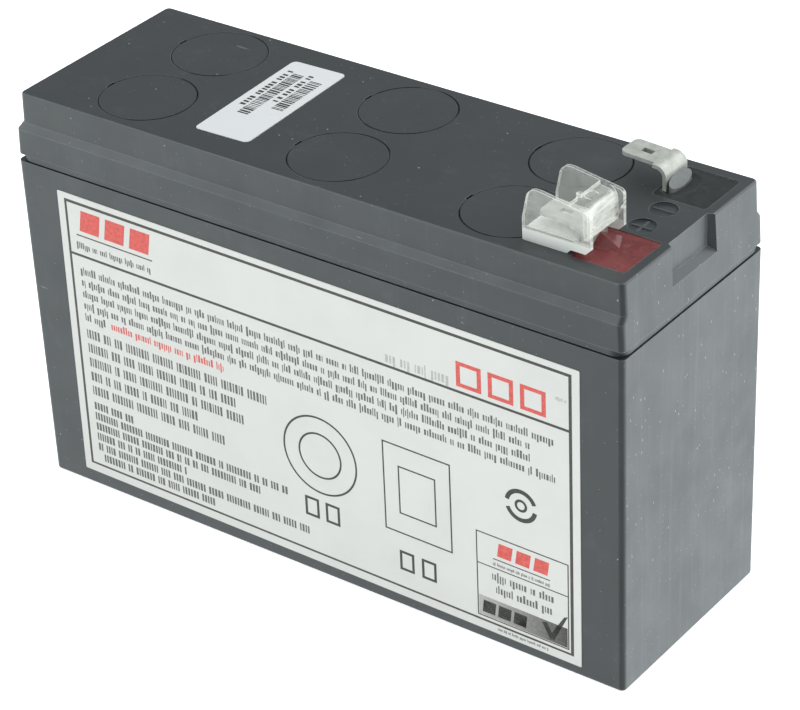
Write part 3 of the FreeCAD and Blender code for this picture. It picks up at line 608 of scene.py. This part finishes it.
class Print:
    """Thin raised print on a sheet. Places are in millimetres from the sheet's middle."""

    def __init__(self, sheet):
        self.sheet = sheet
        self.mesh = bmesh.new()

    def shape(self, outline):
        """A flat block with this outline, given anticlockwise."""
        low = [self.mesh.verts.new(self.sheet.at(u, v, -INK_SINK)) for u, v in outline]
        high = [self.mesh.verts.new(self.sheet.at(u, v, INK_LIFT)) for u, v in outline]
        self.mesh.faces.new(high)
        self.mesh.faces.new(reversed(low))
        for i, start in enumerate(low):
            j = (i + 1) % len(low)
            self.mesh.faces.new((start, low[j], high[j], high[i]))

    def bar(self, left, bottom, right, top, slant=0.0):
        """An upright bar, or one whose top leans to the right by slant."""
        self.shape([(left, bottom), (right, bottom), (right + slant, top), (left + slant, top)])

    def strip(self, outer, inner):
        """A closed strip between two loops with as many points, both given anticlockwise."""
        loops = [
            [self.mesh.verts.new(self.sheet.at(u, v, lift)) for u, v in loop]
            for loop in (outer, inner) for lift in (-INK_SINK, INK_LIFT)
        ]
        low_out, high_out, low_in, high_in = loops
        for i in range(len(outer)):
            j = (i + 1) % len(outer)
            self.mesh.faces.new((high_out[i], high_out[j], high_in[j], high_in[i]))
            self.mesh.faces.new((low_in[i], low_in[j], low_out[j], low_out[i]))
            self.mesh.faces.new((low_out[i], low_out[j], high_out[j], high_out[i]))
            self.mesh.faces.new((low_in[j], low_in[i], high_in[i], high_in[j]))

    @staticmethod
    def curve(middle, radius, first, last, steps):
        angles = [math.radians(first + (last - first) * i / steps) for i in range(steps + 1)]
        return [(middle[0] + radius * math.cos(t), middle[1] + radius * math.sin(t)) for t in angles]

    def ring(self, middle, outer, thick, sides=64):
        self.strip(self.curve(middle, outer, 0, 360, sides)[:-1],
                   self.curve(middle, outer - thick, 0, 360, sides)[:-1])

    def arc(self, middle, outer, thick, first, last, sides=24):
        """Part of a ring, from angle first to last in degrees."""
        self.shape(self.curve(middle, outer, first, last, sides)
                   + self.curve(middle, outer - thick, first, last, sides)[::-1])

    def frame(self, left, bottom, right, top, widths):
        """A rectangle's outline. widths are those of its left, bottom, right and top lines."""
        w_left, w_bottom, w_right, w_top = widths

        def corners(x0, y0, x1, y1):
            return [(x0, y0), (x1, y0), (x1, y1), (x0, y1)]

        self.strip(corners(left, bottom, right, top),
                   corners(left + w_left, bottom + w_bottom, right - w_right, top - w_top))

    def words(self, draw, left, middle, right, height, block=(0.11, 0.27), capitals=False):
        """A row of plain blocks in word-like groups, from left to right. height is the tall blocks'."""
        place = left
        while place < right - height / 2:
            for _ in range(draw.choice((2, 3, 4, 5, 6, 7, 8, 9))):
                wide = height * draw.uniform(*block)
                if place + wide > right:
                    break
                rise = 0.5 if capitals else draw.choice((0.5, 0.22, 0.22, 0.22))
                drop = 0.5 if capitals else draw.choice((0.5, 0.5, 0.5, 0.5, 0.5, 0.75))
                self.bar(place, middle - drop * height, place + wide, middle + rise * height)
                place += wide + 0.15 * height
            place += height * 0.38

    def column(self, draw, left, bottom, right, top, step):
        """Short blocks one above another."""
        place = top
        while place > bottom:
            tall = step * draw.uniform(0.45, 0.75)
            self.bar(left, place - tall, right, place)
            place -= step * draw.choice((1.0, 1.0, 1.0, 1.5))

    def stripes(self, draw, left, bottom, right, top):
        """Close stripes of uneven height, one above another."""
        place = top
        while place > bottom:
            tall = draw.choice((0.22, 0.30, 0.45, 0.60))
            self.bar(left, place - tall, right, place)
            place -= tall + draw.choice((0.20, 0.28, 0.42))

    def done(self, name, material):
        made = bpy.data.meshes.new(name)
        self.mesh.to_mesh(made)
        self.mesh.free()
        made.materials.append(material)
        piece = bpy.data.objects.new(name, made)
        bpy.context.scene.collection.objects.link(piece)
        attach(piece, "root")
        return piece


# Operators


class BATTERY_OT_mouldings(bpy.types.Operator):
    """Finishes the case, the cover and the vent discs."""

    bl_idname = "battery.mouldings"
    bl_label = "Case, Cover and Vents"

    def execute(self, context):
        settings = context.scene.battery_moulding
        discs = nodes_named("vent_disc")
        boxes = [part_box(disc) for disc in discs]
        # The vents' middles and this ring radius place the painted shadow ring round each vent seat.
        seats = [((low.x + high.x) / 2 / MM, (low.y + high.y) / 2 / MM) for low, high in boxes]
        low, high = boxes[0]
        radius = (high.x - low.x) / 2 / MM + settings.gap / MM / 2
        finish_nodes(["case"], moulded_plastic("Body plastic", settings, 0.45))
        finish_nodes(["cover"], moulded_plastic("Cover plastic", settings, 0.85, seats, radius))
        finish_nodes(discs, moulded_plastic("Vent plastic", settings, 0.10, seats, radius))
        return {"FINISHED"}


class BATTERY_OT_insides(bpy.types.Operator):
    """Finishes the plates, separators, valves and post seals."""

    bl_idname = "battery.insides"
    bl_label = "Insides"

    def execute(self, context):
        settings = context.scene.battery_metal
        cells = nodes_named("cell_")
        finish_nodes([n for n in cells if n.endswith("positive_plates")],
                     cast_metal("Positive paste", settings.brown, 0.6))
        finish_nodes([n for n in cells if n.endswith("negative_plates")],
                     cast_metal("Negative paste", settings.grey, 0.6))
        finish_nodes([n for n in cells if n.endswith("separators")], glass_mat("Glass mat", settings.mat))
        finish_nodes(nodes_named("valve_") + nodes_named("post_seal"), soft_rubber("Rubber", settings.rubber))
        return {"FINISHED"}


class BATTERY_OT_terminals(bpy.types.Operator):
    """Finishes the bent blades and the lead posts."""

    bl_idname = "battery.terminals"
    bl_label = "Terminals"

    def execute(self, context):
        settings = context.scene.battery_metal
        finish_nodes(nodes_named("tab_"), tinned_strip("Tinned strip", settings))
        finish_nodes(["post_positive", "post_negative"], cast_metal("Cast lead", settings.lead, 1.2))
        return {"FINISHED"}


class BATTERY_OT_resin(bpy.types.Operator):
    """Finishes the red and black resin in the terminal wells."""

    bl_idname = "battery.resin"
    bl_label = "Resin"

    def execute(self, context):
        settings = context.scene.battery_resin
        finish_nodes(["potting_positive"], poured_resin("Red resin", settings.red, settings.pink, 0.35))
        finish_nodes(["potting_negative"], poured_resin("Black resin", settings.black, settings.chalk, 0.04))
        return {"FINISHED"}


class BATTERY_OT_cap(bpy.types.Operator):
    """Finishes the see-through cap."""

    bl_idname = "battery.cap"
    bl_label = "Terminal Cap"

    def execute(self, context):
        settings = context.scene.battery_cap
        low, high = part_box("terminal_cap")
        level = (low.z + high.z) / 2 / MM
        finish_nodes(["terminal_cap"], clear_cap("Clear plastic", settings, low.z / MM, level))
        return {"FINISHED"}


class BATTERY_OT_side_label(bpy.types.Operator):
    """Finishes the side label and lays its print: border, blocks for words, plain figures."""

    bl_idname = "battery.side_label"
    bl_label = "Side Label"

    def execute(self, context):
        settings = context.scene.battery_label
        finish_nodes(["front_label"], printed_film("Label film", settings.film, 0.5))
        sheet = Sheet("front_label", (0, -1, 0))
        draw = random.Random(settings.seed)
        self.lines(sheet, settings)
        self.text(sheet, settings, draw)
        self.red_print(sheet, settings, draw)
        self.pale_print(sheet, settings, draw)
        return {"FINISHED"}

    def lines(self, sheet, settings):
        half, rise = sheet.length / MM / 2 - 1.8, sheet.width / MM / 2 - 1.4
        drawn = Print(sheet)
        drawn.frame(-half, -rise + 0.6, half, rise, (RULE_LEFT, RULE_BOTTOM, RULE_RIGHT, RULE_TOP))
        drawn.bar(-half + RULE_LEFT, 20.45, half - RULE_RIGHT, 21.05)
        drawn.frame(40.5, -32.1, 62.9, -11.0, (BOX_LINE,) * 4)
        drawn.bar(40.78, -19.03, 62.62, -18.78)
        drawn.bar(-61.4, 25.6, -40.6, 25.9)
        drawn.bar(44.6, -16.75, 58.4, -16.5)
        drawn.done("label_lines", ink("Line ink", settings.line))

    def text(self, sheet, settings, draw):
        drawn = Print(sheet)
        for row, end in enumerate(PARAGRAPH_ENDS):
            drawn.words(draw, TEXT_LEFT, PARAGRAPH_TOP - PARAGRAPH_STEP * row, end, PARAGRAPH_TALL)
        drawn.words(draw, TEXT_LEFT, PARAGRAPH_LAST, -55.5, PARAGRAPH_TALL)
        for row, end in enumerate(NOTE_ENDS):
            drawn.words(draw, TEXT_LEFT, NOTE_TOP - NOTE_STEP * row, end, NOTE_TALL, capitals=True)
        for row, end in enumerate(LIST_ENDS):
            left = TEXT_LEFT + (LIST_INDENT if row == len(LIST_ENDS) - 1 else 0)
            drawn.words(draw, left, LIST_TOP - LIST_STEP * row, end, LIST_TALL, BOLD, capitals=True)
        drawn.words(draw, -61.6, 23.3, -40.3, 1.5)
        drawn.words(draw, 44.3, -20.9, 59.5, 2.0)
        drawn.words(draw, 45.2, -24.0, 58.8, 2.0)
        drawn.words(draw, 45.4, -34.0, 57.9, 0.7)
        drawn.words(draw, 44.6, -17.8, 58.4, 0.75)
        drawn.done("label_words", ink("Word ink", settings.grey))
        figures = Print(sheet)
        figures.ring(RING_MIDDLE, 9.6, RING_LINE)
        figures.ring(RING_MIDDLE, 5.6, RING_LINE)
        for left in (-3.4, 2.0, 21.0, 26.6):
            foot = -24.0 if left < 10 else -28.6
            figures.frame(left, foot, left + 3.7, foot + 4.9, (0.62,) * 4)
        figures.frame(17.6, -19.4, 34.6, 2.4, (FRAME_LINE,) * 4)
        figures.frame(21.4, -14.4, 30.8, -2.6, (FRAME_LINE,) * 4)
        figures.arc(SIGN_MIDDLE, 3.9, 1.0, 20, 170)
        figures.arc(SIGN_MIDDLE, 3.9, 1.0, 200, 350)
        figures.ring(SIGN_MIDDLE, 1.5, 0.6)
        for left in (41.7, 45.5, 49.3):
            figures.bar(left, -30.9, left + 3.1, -27.9, 0.35)
        figures.shape([(56.3, -27.6), (58.4, -31.4), (59.2, -31.2), (62.6, -24.0), (61.7, -24.4),
                       (58.7, -29.5), (57.6, -27.2)])
        figures.done("label_figures", ink("Figure ink", settings.dark))

    def red_print(self, sheet, settings, draw):
        drawn = Print(sheet)
        for left in (-60.4, -53.6, -46.8):
            drawn.bar(left, 26.9, left + 5.3, 32.0, 0.8)
        for left in (36.8, 44.4, 52.0):
            drawn.frame(left, 22.0, left + 6.0, 27.8, (1.0, 0.9, 1.0, 0.9))
        drawn.words(draw, -54.0, PARAGRAPH_LAST, -23.1, PARAGRAPH_TALL)
        for left in (45.6, 50.0, 54.4):
            drawn.bar(left, -15.7, left + 3.4, -12.4, 0.5)
        drawn.done("label_red", ink("Red ink", settings.red))

    def pale_print(self, sheet, settings, draw):
        drawn = Print(sheet)
        drawn.words(draw, 19.5, 22.9, 35.0, 2.5)
        drawn.words(draw, 60.2, 27.4, 62.8, 0.8)
        drawn.done("label_pale", ink("Pale ink", settings.pale))
        band = Print(sheet)
        band.bar(BAND_LEFT, -31.7, BAND_RIGHT, -26.9)
        ends = [sheet.at(place, 0).x / MM for place in (BAND_LEFT, BAND_RIGHT)]
        band.done("label_band", shaded_ink("Band ink", settings.film, settings.band, ends))


class BATTERY_OT_tag(bpy.types.Operator):
    """Finishes the narrow tag across the top and lays its rows of bars."""

    bl_idname = "battery.tag"
    bl_label = "Top Tag"

    def execute(self, context):
        settings = context.scene.battery_label
        finish_nodes(["top_label"], printed_film("Tag film", settings.tag, 0.2))
        sheet = Sheet("top_label", (0, 0, 1))
        draw = random.Random(settings.seed + 1)
        drawn = Print(sheet)
        drawn.stripes(draw, -3.3, -7.1, -0.6, 12.5)
        drawn.stripes(draw, 1.9, -2.8, 4.75, 11.4)
        drawn.column(draw, -5.1, -3.5, -3.8, 13.2, TAG_ROW)
        drawn.column(draw, 0.2, -0.5, 1.4, 13.3, TAG_ROW)
        drawn.done("tag_bars", ink("Tag ink", settings.dark))
        return {"FINISHED"}


class BATTERY_OT_stage(bpy.types.Operator):
    """Lays the floor and sets the lights and the camera."""

    bl_idname = "battery.stage"
    bl_label = "Stage"

    def execute(self, context):
        settings = context.scene.battery_stage
        self.floor(settings)
        low, high = CAD_BOX
        middle = (low + high) / 2
        self.light("Lamp", middle + LAMP_AWAY, middle, LAMP_SIZE, settings.lamp)
        self.room(context, settings)
        self.camera(context, settings)
        context.scene.view_settings.view_transform = "Standard"
        return {"FINISHED"}

    def floor(self, settings):
        half = FLOOR_HALF
        mesh = bpy.data.meshes.new("Floor")
        corners = [(-half, -half, 0), (half, -half, 0), (half, half, 0), (-half, half, 0)]
        mesh.from_pydata(corners, [], [(0, 1, 2, 3)])
        floor = bpy.data.objects.new("Floor", mesh)
        bpy.context.scene.collection.objects.link(floor)
        made = Finish("Floor")
        tone = Vector(settings.floor)
        made.set(colour=made.blend(made.noise(400, 2), tone * 0.99, tone), roughness=0.9)
        made.shader.inputs["Emission Color"].default_value = (1, 1, 1, 1)
        made.shader.inputs["Emission Strength"].default_value = settings.glow
        mesh.materials.append(made.material)
        floor.visible_glossy = False

    def light(self, name, place, target, size, power):
        data = bpy.data.lights.new(name, "AREA")
        data.shape = "SQUARE"
        data.size = size
        data.energy = power
        lamp = bpy.data.objects.new(name, data)
        lamp.location = place
        lamp.rotation_euler = (target - place).to_track_quat("-Z", "Y").to_euler()
        bpy.context.scene.collection.objects.link(lamp)

    def room(self, context, settings):
        """A dim room with soft panels: two before the label, one at the end, above and below."""
        world = bpy.data.worlds.new("Studio")
        world.use_nodes = True
        tree = world.node_tree
        way = tree.nodes.new("ShaderNodeTexCoord").outputs["Generated"]
        total = None
        panels = (
            (FRONT_PANEL, settings.front),
            (HIGH_PANEL, settings.high),
            (END_PANEL, settings.end),
            (OVERHEAD_PANEL, settings.over),
            (LOW_PANEL, settings.low),
        )
        for (direction, dark, bright), level in panels:
            facing = tree.nodes.new("ShaderNodeVectorMath")
            facing.operation = "DOT_PRODUCT"
            facing.inputs[1].default_value = direction
            tree.links.new(way, facing.inputs[0])
            fade = tree.nodes.new("ShaderNodeMapRange")
            fade.interpolation_type = "SMOOTHSTEP"
            for socket, number in zip(fade.inputs[1:], (dark, bright, 0.0, level)):
                socket.default_value = number
            tree.links.new(facing.outputs["Value"], fade.inputs[0])
            sum_up = tree.nodes.new("ShaderNodeMath")
            sum_up.operation = "ADD"
            sum_up.inputs[1].default_value = settings.base
            tree.links.new(fade.outputs[0], sum_up.inputs[0])
            if total:
                tree.links.new(total, sum_up.inputs[1])
            total = sum_up.outputs[0]
        background = tree.nodes["Background"]
        background.inputs["Color"].default_value = ROOM_TINT
        tree.links.new(total, background.inputs["Strength"])
        context.scene.world = world

    def camera(self, context, settings):
        flat = math.cos(settings.elevation)
        back = Vector((
            math.sin(settings.azimuth) * flat, -math.cos(settings.azimuth) * flat,
            math.sin(settings.elevation),
        ))
        right = UP.cross(back).normalized()
        over = back.cross(right)
        turn = settings.roll
        across = math.cos(turn) * right + math.sin(turn) * over
        upward = -math.sin(turn) * right + math.cos(turn) * over
        data = bpy.data.cameras.new("Camera")
        data.lens = settings.lens
        data.sensor_width = SENSOR
        camera = bpy.data.objects.new("Camera", data)
        rows = Matrix((across, upward, back)).transposed().to_4x4()
        camera.matrix_world = Matrix.Translation(Vector(settings.place)) @ rows
        context.scene.collection.objects.link(camera)
        context.scene.camera = camera


STEPS = (
    BATTERY_OT_mouldings,
    BATTERY_OT_insides,
    BATTERY_OT_terminals,
    BATTERY_OT_resin,
    BATTERY_OT_cap,
    BATTERY_OT_side_label,
    BATTERY_OT_tag,
    BATTERY_OT_stage,
)


class BATTERY_PT_panel(bpy.types.Panel):
    """Lists the steps and their settings."""

    bl_idname = "BATTERY_PT_panel"
    bl_label = "Battery Block"
    bl_space_type = "VIEW_3D"
    bl_region_type = "UI"
    bl_category = "Battery"

    def draw(self, context):
        for step in STEPS:
            self.layout.operator(step.bl_idname)
        for name, group in GROUPS.items():
            box = self.layout.box()
            for key in group.__annotations__:
                box.prop(getattr(context.scene, name), key)


def register():
    for group in GROUPS.values():
        bpy.utils.register_class(group)
    for name, group in GROUPS.items():
        setattr(bpy.types.Scene, name, PointerProperty(type=group))
    for kind in (*STEPS, BATTERY_PT_panel):
        bpy.utils.register_class(kind)


def unregister():
    for kind in (BATTERY_PT_panel, *reversed(STEPS)):
        bpy.utils.unregister_class(kind)
    for name in GROUPS:
        delattr(bpy.types.Scene, name)
    for group in reversed(GROUPS.values()):
        bpy.utils.unregister_class(group)


def write_sizes():
    """Brings the view layer up to date."""
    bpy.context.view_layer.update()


def main():
    register()
    bpy.ops.battery.mouldings()
    bpy.ops.battery.insides()
    bpy.ops.battery.terminals()
    bpy.ops.battery.resin()
    bpy.ops.battery.cap()
    bpy.ops.battery.side_label()
    bpy.ops.battery.tag()
    bpy.ops.battery.stage()
    write_sizes()


if __name__ == "__main__":
    main()
